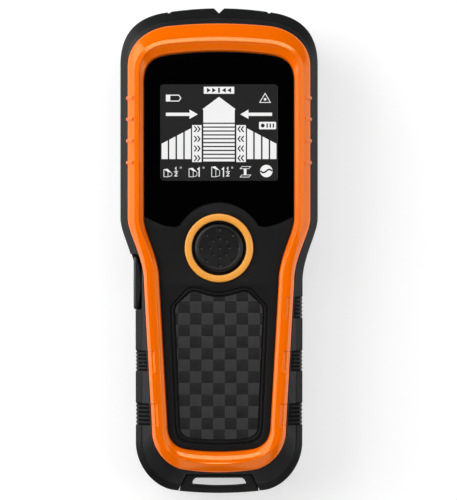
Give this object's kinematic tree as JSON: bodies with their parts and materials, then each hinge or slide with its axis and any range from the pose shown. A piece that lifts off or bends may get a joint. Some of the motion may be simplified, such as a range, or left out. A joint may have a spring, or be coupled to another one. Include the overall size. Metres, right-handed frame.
{
  "type": "stud finder",
  "caption": "Hand-held wall scanner with a waisted two-shell body, display window, dimpled mode button, side key, battery door and lanyard slot.",
  "frame": {"origin": "centre of the box's base, on the plane of the rear glide pads", "axes": "+Y towards the sensing head's end, +Z out of the front face, +X to the right seen from the front"},
  "size_m": [0.064, 0.157, 0.031],
  "materials": {
    "black_shell": "fine moulded texture",
    "bumper_rubber": "soft satin over-mould",
    "key_rubber": "soft satin",
    "orange_shell": "smooth moulded, semi-gloss",
    "ring_orange": "smooth moulded",
    "button_rubber": "satin",
    "panel_black": "fine matte texture",
    "inlay_weave": "checkered woven-fibre look",
    "window_lens": "polished lens",
    "foam": "closed-cell foam",
    "glide_felt": "slick low-friction pad",
    "lcd_glass": "display glass",
    "white_plastic": "plain moulded",
    "grey_plastic": "plain moulded",
    "strip_rubber": "conductive elastomer",
    "board_green": "solder mask",
    "screw_steel": "zinc plated",
    "chip_black": "moulded epoxy",
    "can_aluminium": "sleeved can",
    "connector_black": "moulded nylon",
    "copper": "enamelled copper",
    "battery_wrap": "plain satin jacket",
    "nickel": "nickel plated",
    "lead_red": "insulated wire",
    "lead_black": "insulated wire"
  },
  "bodies": {
    "housing": {"battery": "battery_wrap", "battery_contacts": "nickel", "battery_terminals": "nickel", "board_header": "connector_black", "board_screws": "screw_steel", "board_socket": "connector_black", "button_ring": "ring_orange", "capacitors": "can_aluminium", "case_screws": "screw_steel", "coil_former": "white_plastic", "coil_winding": "copper", "contact_block": "grey_plastic", "display_window": "window_lens", "front_panel": "panel_black", "front_shell": "black_shell", "glide_pads": "glide_felt", "grip_inlay": "inlay_weave", "lanyard_tab": "bumper_rubber", "lcd_backlight": "white_plastic", "lcd_contact_strip": "strip_rubber", "lcd_glass": "lcd_glass", "lcd_holder": "grey_plastic", "lead_black": "lead_black", "lead_red": "lead_red", "main_board": "board_green", "microcontroller": "chip_black", "mode_switch_base": "chip_black", "orange_bezel": "orange_shell", "rear_shell": "black_shell", "rubber_bumper": "bumper_rubber", "sensor_board": "board_green", "sensor_chip": "chip_black", "sensor_plates": "copper", "side_switch_base": "chip_black", "sounder": "grey_plastic", "window_gasket": "foam"},
    "mode_button": {"mode_button": "button_rubber", "mode_switch_plunger": "white_plastic"},
    "side_key": {"side_key": "key_rubber", "side_switch_plunger": "white_plastic"},
    "battery_door": {"battery_door": "black_shell", "battery_pad": "foam"}
  },
  "joints": [
    {"name": "mode_button_press", "type": "slide", "parent": "housing", "child": "mode_button", "axis": [0, 0, -1], "range_m": [0, 0.0008], "stiffness_N_per_m": 2500},
    {"name": "side_key_press", "type": "slide", "parent": "housing", "child": "side_key", "axis": [1, 0, 0], "range_m": [0, 0.001], "stiffness_N_per_m": 2000},
    {"name": "battery_door_hinge", "type": "hinge", "parent": "housing", "child": "battery_door", "pos_m": [0, -0.0162, 0.0022], "axis": [1, 0, 0], "range_deg": [0, 95]}
  ]
}
